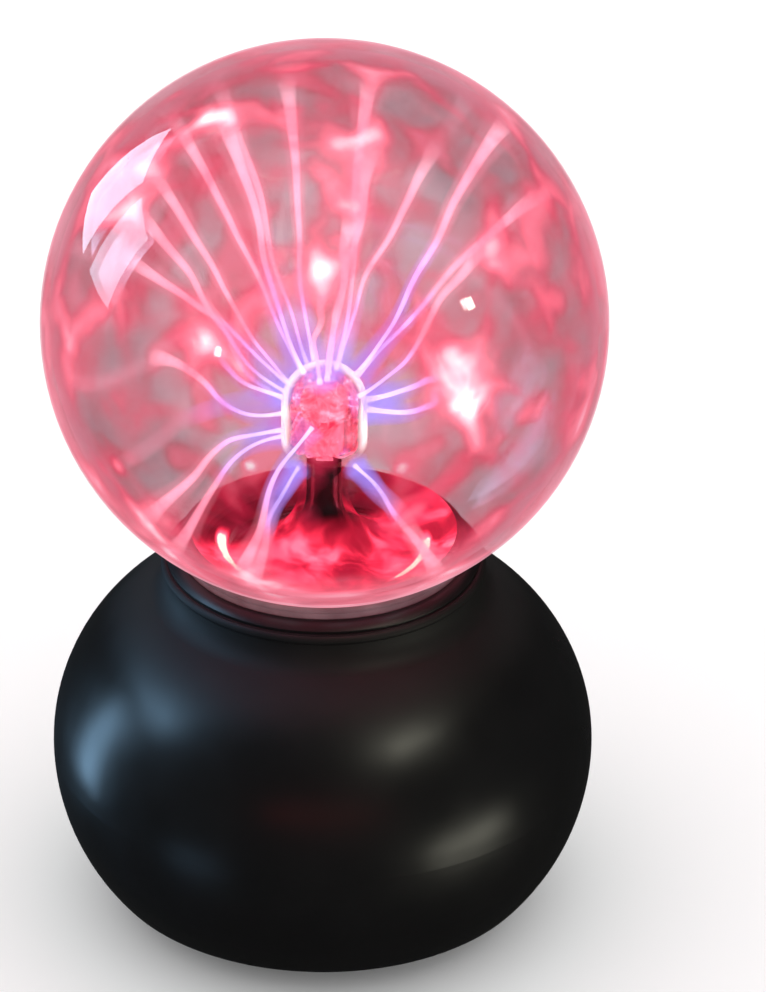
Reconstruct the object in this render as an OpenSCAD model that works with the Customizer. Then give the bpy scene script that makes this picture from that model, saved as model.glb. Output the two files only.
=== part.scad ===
// Plasma ball: a sealed glass globe with a high-voltage electrode, on a round battery-powered base.
// Millimetres, +Z up, origin at the centre of the plane that the feet stand on, rear at +Y.

/* [Globe] */
// Height of the whole ball over the table
total_h = 150; // [149:0.5:151]
// Outer diameter of the glass globe
globe_d = 90; // [89.5:0.1:90.2]
// Thickness of the globe's glass
globe_wall = 1.6; // [1.4:0.1:1.8]
// Radius of the opening that the stem is sealed into
seal_r = 15.5; // [15.3:0.1:15.7]

/* [Electrode] */
// Outer diameter of the electrode bulb
bulb_d = 13.8; // [13:0.1:14]
// Thickness of the bulb's and the stem's glass
stem_wall = 1; // [0.8:0.1:1]
// Outer diameter of the stem tube under the bulb
tube_d = 8; // [7.8:0.1:8]
// Height of the bulb's top over the table
bulb_top = 97.6; // [96:0.1:99]
// Length of the bulb
bulb_l = 16; // [15.5:0.5:16]

/* [Base] */
// Largest diameter of the base
base_d = 88.6; // [88.4:0.1:88.8]
// Radius of the arc that the base's side follows above its widest line
upper_arc = 32; // [31.9:0.1:32.1]
// Radius of the arc that the base's side follows below its widest line
lower_arc = 36; // [35.9:0.1:36.1]
// Height of the base's widest line
belly_z = 28.5; // [28.4:0.1:28.6]
// Diameter of the neck that holds the globe
neck_d = 51.6; // [51.5:0.1:51.7]
// Thickness of the plastic shell
wall = 2; // [1.8:0.1:2.2]
// Height of the feet under the bottom cover
foot_h = 1.2; // [1:0.1:1.4]

/* [Switch and inlet] */
// Travel of the power switch
switch_travel = 4; // [3:0.5:4]
// Angle of the switch and the inlet to each side of the rear
rear_spread = 18; // [17:1:19]
// Height of the switch and the inlet
rear_z = 22; // [21.5:0.5:22.5]

/* [Batteries] */
// Diameter of a cell
cell_d = 10.4; // [10.2:0.1:10.5]
// Length of a cell's case, without its button
cell_l = 43.2; // [42.8:0.1:43.3]

/* [Hidden] */
$fn = 64;
eps = 0.01;
big = 200;

// Globe and stem
globe_r = globe_d / 2;
globe_z = total_h - globe_r;
bulb_r = bulb_d / 2;
tube_r = tube_d / 2;
flare_arc = seal_r - tube_r;
flare_z = globe_z - 30;
bulb_z0 = bulb_top - bulb_l;
bead_r = 1;
tip_y = 10;

// Base outline: a round side that turns in toward the feet, a short neck and a hollow curve that joins them
upper_x = base_d / 2 - upper_arc;
lower_x = base_d / 2 - lower_arc;
neck_r = neck_d / 2;
neck_arc = 4.4;
neck_z = belly_z + sqrt(pow(upper_arc + neck_arc, 2) - pow(neck_r + neck_arc - upper_x, 2));
lip_z = neck_z + 2.6;
split_z = 4.8;
toe_r = 28;
toe_slope = 1.7;
ledge_z = lip_z - 8.3;
ledge_t = 2;
mouth_r = neck_r - wall;
gap = 0.2;

// Bottom cover
plate_top = foot_h + 2.4;
foot_r = 3.6;
foot_x = 16.5;
foot_y = 17;
foot_sink = 1;
screw_head_r = 2.2;
screw_r = 1.3;
screw_seat_z = 3.8;
pocket_r = 31;
spigot_r = 32.4;
spigot_h = 1.8;
pillar_h = 19;

// Battery bay: two cells side by side, on two levels, along X
bay_x = 25.4;
bay_y = 11.4;
bay_wall = 1.2;
bay_top = 26.3;
cell_r = cell_d / 2;
cell_y = 5.6;
cell_z = [9.2, 20.1];
button_l = 1.3;
contact_t = 0.4;
dimple = 0.5;

// Battery door, hinged at its -X end
door_t = 1.4;
door_x0 = -25.6;
door_x1 = 26.2;
door_y = 12.2;
hinge_z = foot_h + 0.9;
knuckle_r = 0.9;
knuckle_y = 9;

// Circuit board
board_r = 29.5;
board_z = 30;
board_t = 1.6;
top_z = board_z + board_t;
board_post_r = 24;
board_post_angles = [90, 210, 330];
board_screw_r = 1.1;

// Transformer
core_y = -2;
core_w = 22;
core_d = 6;
core_h = 20;
core_z0 = top_z + 0.4;
yoke = 4;
leg_r = 3;
flange_r = 6.9;

// Heat sink
sink_x = 16.2;
sink_y = 3;
sink_top = 51;
sink_hole_r = 1.6;
tab_z = 48;
body_z0 = 36;

// Switch, measured outward from the axis
recess_u = 40.4;
boss_u = 38;
ear_y = 8.9;
ear_screw_r = 0.9;
switch_angle = 90 - rear_spread;
jack_angle = 90 + rear_spread;
jack_face_u = 43.2;
jack_seat_u = 41.6;
jack_r = 3.95;
jack_hole_r = 3;
jack_flange_r = 5.5;

// ---- Helpers ----

module turned() rotate_extrude($fn = 128) children();

module ring(r_out, r_in, h) {
    difference() {
        cylinder(r = r_out, h = h);
        translate([0, 0, -1]) cylinder(r = r_in, h = h + 2);
    }
}

// Children drawn with X outward, Y along the side and Z up, at an angle round the base
module outward(angle, z = 0) rotate([0, 0, angle]) translate([0, 0, z]) children();

// Extrudes a (side, up) outline outward from u0 to u1
module along_u(u0, u1) translate([u0, 0, 0]) rotate([90, 0, 90]) linear_extrude(u1 - u0) children();

// A cylinder that lies along X
module bar(r, x0, x1) translate([x0, 0, 0]) rotate([0, 90, 0]) cylinder(r = r, h = x1 - x0);

module block(x0, x1, y0, y1, z0, z1) translate([x0, y0, z0]) cube([x1 - x0, y1 - y0, z1 - z0]);

module rounded_rect(w, h, r) {
    square([w - 2 * r, h], center = true);
    square([w, h - 2 * r], center = true);
    for (sx = [-1, 1], sy = [-1, 1]) translate([sx * (w / 2 - r), sy * (h / 2 - r)]) circle(r);
}

module four_corners(x, y) for (sx = [-1, 1], sy = [-1, 1]) translate([sx * x, sy * y, 0]) children();

// Children at the four cover screws, with X outward
module at_pillars() {
    for (sx = [-1, 1], sy = [-1, 1])
        rotate([0, 0, atan2(sy * foot_y, sx * foot_x)]) translate([norm([foot_x, foot_y]), 0, 0]) children();
}

// Outline of the base's right half, moved inward by inset
module base_outline(inset = 0) {
    joint = upper_arc / (upper_arc + neck_arc);
    intersection() {
        union() {
            intersection() {
                translate([upper_x, belly_z]) circle(upper_arc - inset, $fn = 200);
                above(belly_z);
            }
            intersection() {
                translate([lower_x, belly_z]) circle(lower_arc - inset, $fn = 200);
                below(belly_z);
            }
            square([upper_x, 2 * belly_z]);
        }
        square([big, neck_z - inset]);
        polygon([[0, foot_h], [toe_r, foot_h], [toe_r + 20 * toe_slope, foot_h + 20], [big, big], [0, big]]);
    }
    difference() {
        polygon([
            [0, belly_z], [upper_x, belly_z],
            [upper_x + joint * (neck_r + neck_arc - upper_x), belly_z + joint * (neck_z - belly_z)],
            [neck_r + neck_arc, neck_z], [neck_r - inset, neck_z], [0, neck_z]
        ]);
        translate([neck_r + neck_arc, neck_z]) circle(neck_arc + inset, $fn = 128);
    }
    translate([0, neck_z - eps]) square([neck_r - inset, lip_z - neck_z + eps]);
}

module base_solid(inset = 0) turned() base_outline(inset);

module below(z) translate([0, z - big]) square([big, big]);
module above(z) translate([0, z]) square([big, big]);
module inside(r) translate([0, -big]) square([r, 2 * big]);

// ---- Wire sweep ----

function unit(v) = v / norm(v);
function bezier(p, t) =
    pow(1 - t, 3) * p[0] + 3 * pow(1 - t, 2) * t * p[1] + 3 * (1 - t) * t * t * p[2] + pow(t, 3) * p[3];
function bezier_path(p, n) = [for (i = [0:n]) bezier(p, i / n)];
function tangent(p, i) = unit(p[min(i + 1, len(p) - 1)] - p[max(i - 1, 0)]);
function wire_ring(p, i, r, ref, n) =
    let (t = tangent(p, i), a = unit(cross(t, ref)), b = cross(t, a))
    [for (k = [0:n - 1]) p[i] + r * (cos(360 * k / n) * a + sin(360 * k / n) * b)];

module wire(path, r, ref = [1, 0, 0], n = 8) {
    m = len(path);
    points = [for (i = [0:m - 1]) each wire_ring(path, i, r, ref, n)];
    sides = [for (i = [0:m - 2], k = [0:n - 1])
        let (a = i * n + k, b = i * n + (k + 1) % n) each [[a, b, b + n], [a, b + n, a + n]]];
    ends = [[for (k = [n - 1:-1:0]) k], [for (k = [0:n - 1]) (m - 1) * n + k]];
    polyhedron(points, concat(sides, ends), convexity = 6);
}

// ---- Glass and electrode ----

module globe_glass() {
    color([0.95, 0.75, 0.78, 0.35])
    turned() difference() {
        translate([0, globe_z]) circle(globe_r, $fn = 256);
        translate([0, globe_z]) circle(globe_r - globe_wall, $fn = 256);
        translate([-big, -big]) square([big, 3 * big]);
        translate([0, -eps]) square([seal_r, globe_z]);
    }
}

module flare_sector(r_out, r_in) {
    intersection() {
        translate([seal_r, flare_z]) difference() {
            circle(r_out, $fn = 128);
            circle(r_in, $fn = 128);
        }
        square([seal_r, flare_z]);
    }
}

module bulb_outline(inset) {
    corner = 2;
    r = bulb_r - inset;
    z0 = bulb_z0 + inset;
    translate([0, bulb_top - bulb_r]) intersection() {
        circle(r, $fn = 96);
        square([big, big]);
    }
    translate([0, z0 + corner]) square([r, bulb_top - bulb_r - z0 - corner]);
    translate([0, z0]) square([r - corner, corner]);
    translate([r - corner, z0 + corner]) circle(corner);
}

module electrode_stem() {
    color([0.95, 0.85, 0.88, 0.35])
    turned() {
        flare_sector(flare_arc + stem_wall, flare_arc);
        translate([seal_r - bead_r, flare_z - flare_arc - 0.1]) circle(bead_r);
        translate([tube_r - stem_wall, flare_z - eps])
            square([stem_wall, bulb_z0 + stem_wall - flare_z + 2 * eps]);
        difference() {
            bulb_outline(0);
            bulb_outline(stem_wall);
            translate([0, bulb_z0 - 1]) square([tube_r - stem_wall, 4]);
        }
    }
}

// The sealed tip of the tube that the globe was emptied and filled through
module exhaust_tip() {
    tip_r = 1.6;
    color([0.95, 0.85, 0.88, 0.35])
    difference() {
        translate([0, tip_y, 0]) {
            translate([0, 0, 59]) cylinder(r = tip_r, h = 7);
            translate([0, 0, 57.4]) cylinder(r1 = 0.5, r2 = tip_r, h = 1.6);
        }
        turned() translate([seal_r, flare_z]) circle(flare_arc + stem_wall, $fn = 128);
    }
}

module electrode_wool() {
    color([0.75, 0.3, 0.35]) turned() difference() {
        bulb_outline(stem_wall + 0.35);
        translate([0, bulb_z0]) square([3, 3.5]);
    }
}

module contact_cap() {
    color([0.8, 0.65, 0.35])
    translate([0, 0, bulb_z0 + 1.4]) {
        translate([0, 0, 1.1]) cylinder(r = 2.6, h = 1);
        ring(2.6, 1.25, 1.1);
    }
}

// ---- Parts that hold the globe ----

module globe_gasket() {
    color([0.55, 0.45, 0.47])
    turned() difference() {
        union() {
            translate([mouth_r - 3.9, lip_z]) square([3.2, 2.6]);
            translate([mouth_r - 1.9, lip_z + 2.6]) circle(1.2);
            translate([mouth_r - 1.6, lip_z + 3.1]) circle(1.1);
        }
        translate([0, globe_z]) circle(globe_r, $fn = 256);
    }
}

module globe_collar() {
    face_r = 3.1;
    face_drop = 1.5;
    color([0.06, 0.06, 0.065])
    turned() intersection() {
        translate([mouth_r - 0.5, lip_z]) square([neck_r - mouth_r, 3]);
        translate([mouth_r - 0.9, lip_z - face_drop]) circle(face_r, $fn = 96);
    }
}

module globe_cup() {
    clear = 0.4;
    thick = 1.6;
    rim_r = 19.4;
    color([0.05, 0.05, 0.055])
    difference() {
        turned() {
            intersection() {
                translate([0, globe_z]) difference() {
                    circle(globe_r + clear + thick, $fn = 256);
                    circle(globe_r + clear, $fn = 256);
                }
                translate([seal_r - 0.3, 0]) square([rim_r - seal_r + 0.3, globe_z]);
            }
            flare_sector(flare_arc + stem_wall + 1.6, flare_arc + stem_wall + 0.2);
            difference() {
                translate([rim_r - 1.2, lip_z - 1.4]) square([1.2, 2.5]);
                translate([0, globe_z]) circle(globe_r + clear, $fn = 256);
            }
            translate([rim_r - 1.2, lip_z - 1.4]) square([mouth_r - gap - rim_r + 1.2, 1.4]);
            translate([mouth_r - gap - 1.7, ledge_z + ledge_t]) square([1.7, lip_z - ledge_z - ledge_t]);
            translate([tube_r - stem_wall - 1.6, flare_z - eps]) square([1.4, 6 + eps]);
        }
        translate([0, tip_y, 50]) cylinder(r = 2.2, h = 16);
    }
}

// ---- Base ----

module shell_posts() {
    at_pillars() {
        translate([0, 0, split_z]) cylinder(r = 3.2, h = pillar_h);
        block(0, 20, -0.8, 0.8, 8, split_z + pillar_h);
    }
    for (a = board_post_angles) outward(a)
        translate([board_post_r, 0, top_z]) cylinder(r = 3, h = ledge_z + 1 - top_z);
    outward(switch_angle, rear_z) block(boss_u, base_d / 2, -11, 11, -6.6, 6.6);
    outward(jack_angle, rear_z) bar(8.2, boss_u + 0.6, base_d / 2);
}

module shell_holes() {
    four_corners(foot_x, foot_y) translate([0, 0, split_z - 1]) cylinder(r = screw_r, h = 12);
    for (a = board_post_angles) outward(a)
        translate([board_post_r, 0, top_z - 1]) cylinder(r = board_screw_r, h = 10);
    outward(switch_angle, rear_z) {
        along_u(recess_u, big) rounded_rect(16, 9.2, 2);
        along_u(boss_u - 1, big) square([switch_travel + 4.6, 4.2], center = true);
        for (s = [-1, 1]) translate([0, s * ear_y, 0]) bar(ear_screw_r, boss_u - 1, recess_u - 0.2);
    }
    outward(jack_angle, rear_z) {
        bar(jack_r + 0.15, boss_u - 2, big);
        bar(jack_flange_r + 0.5, jack_seat_u, big);
    }
}

module base_shell() {
    color([0.04, 0.04, 0.045])
    difference() {
        union() {
            turned() difference() {
                intersection() {
                    base_outline();
                    above(split_z);
                }
                intersection() {
                    base_outline(wall);
                    below(ledge_z);
                }
                inside(mouth_r - 5.3);
                intersection() {
                    inside(mouth_r);
                    above(ledge_z + ledge_t);
                }
            }
            turned() translate([neck_r - 0.4, lip_z - 0.9]) circle(0.9);
            intersection() {
                shell_posts();
                base_solid(wall / 2);
            }
        }
        shell_holes();
    }
}

module bottom_cover() {
    color([0.07, 0.07, 0.075])
    difference() {
        union() {
            turned() difference() {
                intersection() {
                    base_outline();
                    above(foot_h);
                    below(split_z);
                }
                intersection() {
                    above(plate_top);
                    inside(pocket_r);
                }
            }
            translate([0, 0, split_z - eps]) ring(spigot_r, pocket_r, spigot_h);
            four_corners(foot_x, foot_y) translate([0, 0, plate_top - eps])
                cylinder(r = 3.4, h = split_z - plate_top + eps);
        }
        four_corners(foot_x, foot_y) {
            cylinder(r = foot_r + 0.1, h = foot_h + foot_sink);
            cylinder(r = screw_head_r + gap, h = screw_seat_z);
            cylinder(r = screw_r + 0.15, h = 10);
        }
        block(-24, bay_x - gap, -bay_y, bay_y, 0, 10);
        translate([(door_x0 + door_x1) / 2 + 0.1, 0, 0])
            linear_extrude(foot_h + door_t + 0.1) rounded_rect(door_x1 - door_x0 + 0.2, 2 * door_y + 0.4, 2);
        translate([door_x0, -knuckle_y - gap, hinge_z]) {
            rotate([-90, 0, 0]) cylinder(r = knuckle_r + 0.15, h = 2 * (knuckle_y + gap));
            translate([-knuckle_r - 0.25, 0, -5]) cube([2, 2 * (knuckle_y + gap), 5]);
        }
    }
}

module battery_door() {
    tongue_x = 17;
    color([0.07, 0.07, 0.075])
    difference() {
        union() {
            translate([(door_x0 + door_x1) / 2, 0, foot_h]) linear_extrude(door_t)
                rounded_rect(door_x1 - door_x0, 2 * door_y, 2);
            translate([door_x0, -knuckle_y, hinge_z]) rotate([-90, 0, 0])
                cylinder(r = knuckle_r, h = 2 * knuckle_y);
        }
        for (s = [-1, 1]) {
            block(tongue_x, door_x1 + 1, s * 5 - 0.4, s * 5 + 0.4, 0, 5);
            block(door_x0 - 2, door_x0 + 2.2, s * (knuckle_y + 2.4) - 2.4, s * (knuckle_y + 2.4) + 2.4, 0, 5);
        }
        for (i = [0:4]) translate([tongue_x + 2 + i * 1.5, -3.5, foot_h]) rotate([-90, 0, 0])
            cylinder(r = 0.4, h = 7);
    }
}

// Solder tags of the two end contacts, through the tray's wall
module tags(grow = 0) {
    for (s = [-1, 1])
        block(bay_x - eps, bay_x + bay_wall + 0.8, s * cell_y - 1 - grow, s * cell_y + 1 + grow,
              cell_z[0] - 0.3 - grow, cell_z[0] + 0.3 + grow);
}

module battery_tray() {
    x = bay_x + bay_wall;
    y = bay_y + bay_wall;
    color([0.12, 0.12, 0.125])
    difference() {
        block(-x, x, -y, y, plate_top, bay_top + bay_wall);
        block(-bay_x, bay_x, -bay_y, bay_y, 0, bay_top);
        tags(0.1);
    }
}

// Two cells point each way, so that the four are in series
module at_cells() for (i = [0, 1], j = [0, 1])
    translate([0, (2 * i - 1) * cell_y, cell_z[j]]) rotate([0, 0, i == j ? 0 : 180]) children();

module battery_cells() {
    button_tip = bay_x - contact_t - dimple;
    case_end = button_tip - button_l;
    color([0.75, 0.6, 0.2])
    at_cells() difference() {
        union() {
            bar(cell_r, case_end - cell_l, case_end);
            bar(1.9, case_end - eps, button_tip);
        }
        for (x = [case_end - 0.9, case_end - cell_l + 0.9])
            translate([x - 0.3, 0, 0]) rotate([0, 90, 0]) ring(cell_r + 1, cell_r - 0.2, 0.6);
    }
}

module battery_springs() {
    wire_r = 0.4;
    x0 = -(bay_x - contact_t) + wire_r;
    x1 = bay_x - contact_t - dimple - button_l - cell_l - wire_r;
    turns = 3.5;
    steps = 42;
    color([0.8, 0.8, 0.82])
    at_cells() wire(
        [for (i = [0:steps]) let (t = i / steps, a = 360 * turns * t, r = 3.6 - 1.5 * t)
            [x0 + (x1 - x0) * t, r * cos(a), r * sin(a)]],
        wire_r, [1, 0, 0]);
}

module battery_plates() {
    color([0.8, 0.8, 0.82]) {
        for (s = [-1, 1]) {
            block(-bay_x, contact_t - bay_x, s * cell_y - 4.4, s * cell_y + 4.4, 5, 24.6);
            block(bay_x - contact_t, bay_x, s * cell_y - 4.4, s * cell_y + 4.4, 5, 13.4);
        }
        block(bay_x - contact_t, bay_x, -cell_y - 4.4, cell_y + 4.4, 15.8, 24.6);
        at_cells() bar(2.4, bay_x - contact_t - dimple, bay_x - contact_t + eps);
        tags();
    }
}

module rubber_feet() {
    color([0.15, 0.15, 0.15])
    four_corners(foot_x, foot_y) {
        translate([0, 0, 0.4]) cylinder(r = foot_r, h = foot_h + foot_sink - 0.4);
        cylinder(r1 = foot_r - 0.4, r2 = foot_r, h = 0.4);
    }
}

module pan_screw(head_r, head_h, shank_r, shank_l) {
    difference() {
        translate([0, 0, -head_h]) cylinder(r = head_r, h = head_h);
        for (a = [0, 90]) rotate([0, 0, a])
            block(-head_r * 0.6, head_r * 0.6, -0.3, 0.3, -head_h - 1, 0.7 - head_h);
    }
    translate([0, 0, -eps]) cylinder(r = shank_r, h = shank_l);
}

module cover_screws() {
    color([0.6, 0.6, 0.62])
    four_corners(foot_x, foot_y) translate([0, 0, screw_seat_z]) pan_screw(screw_head_r, 1.5, screw_r, 10);
}

// ---- Electronics ----

module circuit_board() {
    color([0.1, 0.35, 0.15])
    difference() {
        translate([0, 0, board_z]) cylinder(r = board_r, h = board_t);
        for (a = board_post_angles) outward(a)
            translate([board_post_r, 0, 0]) cylinder(r = board_screw_r + 0.2, h = 60);
        at_pillars() {
            cylinder(r = 4, h = 60);
            block(0, 10, -4, 4, 0, 60);
        }
    }
}

module board_screws() {
    color([0.6, 0.6, 0.62])
    for (a = board_post_angles) outward(a)
        translate([board_post_r, 0, board_z]) pan_screw(2.2, 1.5, board_screw_r, 8);
}

module half_core() {
    block(-core_w / 2, core_w / 2, -core_d / 2, core_d / 2, 0, yoke);
    for (s = [-1, 1]) translate([s * (core_w / 2 - 2) - 2, -core_d / 2, 0]) cube([4, core_d, core_h / 2]);
    cylinder(r = leg_r, h = core_h / 2 - 0.2);
}

module ferrite_core() {
    color([0.2, 0.2, 0.22])
    translate([0, core_y, core_z0]) {
        half_core();
        translate([0, 0, core_h]) mirror([0, 0, 1]) half_core();
    }
}

module transformer_bobbin() {
    window_z = core_z0 + yoke + 0.2;
    window_h = core_h - 2 * yoke - 0.4;
    color([0.1, 0.1, 0.1])
    translate([0, core_y, 0]) {
        translate([0, 0, window_z]) {
            ring(leg_r + 0.9, leg_r + 0.15, window_h);
            for (z = [0, window_h / 2 - 0.4, window_h - 0.8]) translate([0, 0, z])
                ring(flange_r, leg_r + 0.15, 0.8);
        }
        for (s = [-1, 1])
            block(-6, 6, s * 5.25 - 2.05, s * 5.25 + 2.05, top_z, window_z + eps);
    }
}

module winding(r, z0, z1) translate([0, core_y, z0]) ring(r, leg_r + 0.95, z1 - z0);

module primary_winding() {
    z = core_z0 + yoke + 1.05;
    color([0.7, 0.35, 0.15]) winding(6.2, z, z + 4.3);
}

module secondary_winding() {
    z = core_z0 + core_h - yoke - 1.05;
    color([0.75, 0.4, 0.18]) winding(6.6, z - 4.3, z);
}

module high_voltage_lead() {
    lead_r = 1.1;
    lead_z = core_z0 + core_h - yoke - 3.2;
    straight = [for (z = [61:4:81]) [0, 0, z]];
    color([0.85, 0.85, 0.85])
    wire(concat(bezier_path([[0, core_y + 6.6, lead_z], [0, 13, lead_z], [0, 0, 50], [0, 0, 59]], 14),
                straight, [[0, 0, bulb_z0 + 2.5]]), lead_r, [1, 0, 0], 10);
}

module power_transistor() {
    color([0.08, 0.08, 0.08])
    block(sink_x - 4.5, sink_x - 1.3, sink_y - 5, sink_y + 5, body_z0, body_z0 + 9);
    color([0.7, 0.7, 0.72])
    difference() {
        block(sink_x - 1.3, sink_x, sink_y - 5, sink_y + 5, body_z0, sink_top);
        translate([0, sink_y, tab_z]) bar(sink_hole_r, 0, 30);
    }
    color([0.7, 0.7, 0.72])
    for (y = [-2.5:2.5:2.5])
        block(sink_x - 3, sink_x - 2.4, sink_y + y - 0.4, sink_y + y + 0.4, top_z, body_z0);
}

module heat_sink() {
    color([0.7, 0.7, 0.72])
    difference() {
        union() {
            block(sink_x, sink_x + 1.5, sink_y - 7, sink_y + 7, top_z, sink_top);
            for (y = [-7, -3.9, 2.4, 5.5])
                block(sink_x + 1.4, sink_x + 6, sink_y + y, sink_y + y + 1.5, top_z, sink_top);
        }
        translate([0, sink_y, tab_z]) bar(sink_hole_r, 0, 30);
    }
}

module heat_sink_screw() {
    color([0.6, 0.6, 0.62])
    translate([sink_x - 1.3, sink_y, tab_z]) rotate([0, 90, 0]) pan_screw(2.6, 1.7, 1.5, 5.6);
}

module heat_sink_nut() {
    color([0.6, 0.6, 0.62])
    translate([sink_x + 1.5, sink_y, tab_z]) rotate([0, 90, 0]) difference() {
        cylinder(r = 2.2, h = 2, $fn = 6);
        translate([0, 0, -1]) cylinder(r = 1.5, h = 4);
    }
}

module can(r, h) {
    groove = 0.35;
    turned() difference() {
        square([r, h]);
        translate([r, 2.2]) circle(groove);
    }
}

module filter_capacitors() {
    color([0.1, 0.12, 0.3]) translate([-16.6, 5, top_z]) can(5, 12);
    color([0.1, 0.12, 0.3]) translate([-13.4, -8.4, top_z]) can(3.2, 8);
}

module film_capacitor() {
    color([0.6, 0.2, 0.1]) block(-13, -3, 12, 16, top_z, top_z + 8);
}

module control_chip() {
    color([0.08, 0.08, 0.08])
    difference() {
        block(1, 10.5, 9, 15.4, top_z + 0.6, top_z + 3.9);
        translate([1, 12.2, top_z]) cylinder(r = 0.8, h = 10);
    }
    color([0.7, 0.7, 0.72])
    for (i = [0:3], y = [8.7, 15.4]) translate([1.6 + 2.54 * i, y, top_z]) cube([0.7, 0.3, 2]);
}

module resistors() {
    color([0.75, 0.65, 0.45])
    for (x = [-4.5:3:4.5]) translate([x, 0, top_z + 1.3]) rotate([0, 0, -90]) {
        bar(1.2, 12, 18);
        for (s = [11, 18]) translate([s, -0.3, -1.3]) cube([1, 0.6, 1.6]);
    }
}

// ---- Power switch and inlet, at the rear ----

module switch_body() {
    color([0.1, 0.1, 0.1])
    outward(switch_angle, rear_z) difference() {
        block(31.5, boss_u - 0.5, -6.4, 6.4, -4, 4);
        block(36, boss_u, -4.8, 4.8, -3.1, 3.1);
    }
}

module switch_bracket() {
    color([0.75, 0.75, 0.77])
    outward(switch_angle, rear_z) difference() {
        block(boss_u - 0.5, boss_u, -10.6, 10.6, -4, 4);
        block(30, 40, -4.6, 4.6, -2.3, 2.3);
        for (s = [-1, 1]) translate([0, s * ear_y, 0]) bar(ear_screw_r + 0.1, 30, 40);
    }
}

module switch_knob() {
    color([0.09, 0.09, 0.09])
    outward(switch_angle, rear_z) translate([0, -switch_travel / 2, 0]) {
        block(36.1, boss_u - 0.7, -2.6, 2.6, -2.9, 2.9);
        difference() {
            block(boss_u - 0.8, 42.3, -2, 2, -1.9, 1.9);
            for (y = [-1.2:0.8:1.2]) translate([42.3, y, -3]) cylinder(r = 0.22, h = 6);
        }
    }
}

module switch_screws() {
    color([0.6, 0.6, 0.62])
    outward(switch_angle, rear_z)
        for (s = [-1, 1]) translate([boss_u - 0.5, s * ear_y, 0]) rotate([0, 90, 0])
            pan_screw(1.6, 1, ear_screw_r, 2.5);
}

module power_jack() {
    color([0.08, 0.08, 0.08])
    outward(jack_angle, rear_z) difference() {
        union() {
            bar(jack_flange_r, jack_seat_u, jack_face_u);
            bar(jack_r, 33, jack_seat_u + eps);
            block(30, 33.01, -2.7, 2.7, -2.7, 2.7);
        }
        bar(jack_hole_r, 34, big);
    }
}

module jack_pin() {
    color([0.8, 0.65, 0.35]) outward(jack_angle, rear_z) bar(1, 34, 42.4);
}

module jack_nut() {
    color([0.7, 0.7, 0.72])
    outward(jack_angle, rear_z) translate([boss_u - 1.8, 0, 0]) rotate([0, 90, 0]) difference() {
        cylinder(r = 6.3, h = 2.4, $fn = 6);
        translate([0, 0, -1]) cylinder(r = jack_r, h = 5);
    }
}

// A point at a distance outward, a distance along the side, and a height
function rear_point(angle, u, s, z) = [u * cos(angle) - s * sin(angle), u * sin(angle) + s * cos(angle), z];

// A wire that leaves one terminal toward a point, and rises straight into the next
module hookup(from, toward, to, r = 0.65) {
    sideways = [to[1] - from[1] + 0.3, from[0] - to[0] + 0.1, 0.2];
    wire(bezier_path([from, toward, to - [0, 0, 5], to], 12), r, sideways);
}

module switch_leads() {
    color([0.7, 0.1, 0.1])
    for (s = [-1, 1])
        hookup(rear_point(switch_angle, 31.5, s * 2.5, rear_z), rear_point(switch_angle, 27, s * 2.5, rear_z),
               rear_point(switch_angle, 23, s * 2.5, board_z));
}

module jack_leads() {
    color([0.1, 0.1, 0.1])
    for (s = [-1, 1])
        hookup(rear_point(jack_angle, 30, s * 1.7, rear_z), rear_point(jack_angle, 26, s * 1.7, rear_z),
               rear_point(jack_angle, 22, s * 1.7, board_z));
}

module battery_leads() {
    tag_x = bay_x + bay_wall + 0.8;
    color([0.8, 0.1, 0.1])
    for (s = [-1, 1])
        hookup([tag_x, s * cell_y, cell_z[0]], [tag_x + 6.6, s * cell_y, cell_z[0]],
               [27.9, s * 4.5, board_z]);
}

globe_glass();
electrode_stem();
exhaust_tip();
electrode_wool();
contact_cap();
globe_gasket();
globe_collar();
globe_cup();
base_shell();
bottom_cover();
battery_door();
battery_tray();
battery_cells();
battery_springs();
battery_plates();
rubber_feet();
cover_screws();
circuit_board();
board_screws();
ferrite_core();
transformer_bobbin();
primary_winding();
secondary_winding();
high_voltage_lead();
power_transistor();
heat_sink();
heat_sink_screw();
heat_sink_nut();
filter_capacitors();
film_capacitor();
control_chip();
resistors();
switch_body();
switch_bracket();
switch_knob();
switch_screws();
power_jack();
jack_pin();
jack_nut();
switch_leads();
jack_leads();
battery_leads();
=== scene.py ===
import math
import random

import bmesh
import bpy
import numpy as np
from mathutils import Matrix, Vector, noise


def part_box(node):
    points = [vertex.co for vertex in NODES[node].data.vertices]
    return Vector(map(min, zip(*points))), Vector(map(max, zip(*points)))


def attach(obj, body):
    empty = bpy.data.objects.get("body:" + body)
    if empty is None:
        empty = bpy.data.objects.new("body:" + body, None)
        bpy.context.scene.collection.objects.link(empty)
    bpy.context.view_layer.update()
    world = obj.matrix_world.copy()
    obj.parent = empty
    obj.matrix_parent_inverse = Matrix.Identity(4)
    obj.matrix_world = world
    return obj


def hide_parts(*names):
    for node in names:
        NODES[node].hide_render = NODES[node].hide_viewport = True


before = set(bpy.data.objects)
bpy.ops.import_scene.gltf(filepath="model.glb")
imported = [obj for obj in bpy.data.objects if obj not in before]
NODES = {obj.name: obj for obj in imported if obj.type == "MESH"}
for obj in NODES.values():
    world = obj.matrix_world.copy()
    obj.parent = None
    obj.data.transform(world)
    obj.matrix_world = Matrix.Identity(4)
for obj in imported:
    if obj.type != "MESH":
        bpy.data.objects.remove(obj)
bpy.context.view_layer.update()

# Looks of the plasma ball: materials for the CAD nodes, and the glowing gas and the wire wool as meshes.
# Metres, in the CAD frame: +Z up, front at -Y. Azimuths start at the front and grow toward +X.

MM = 0.001

# ---- Places taken from the CAD nodes ----

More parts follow.
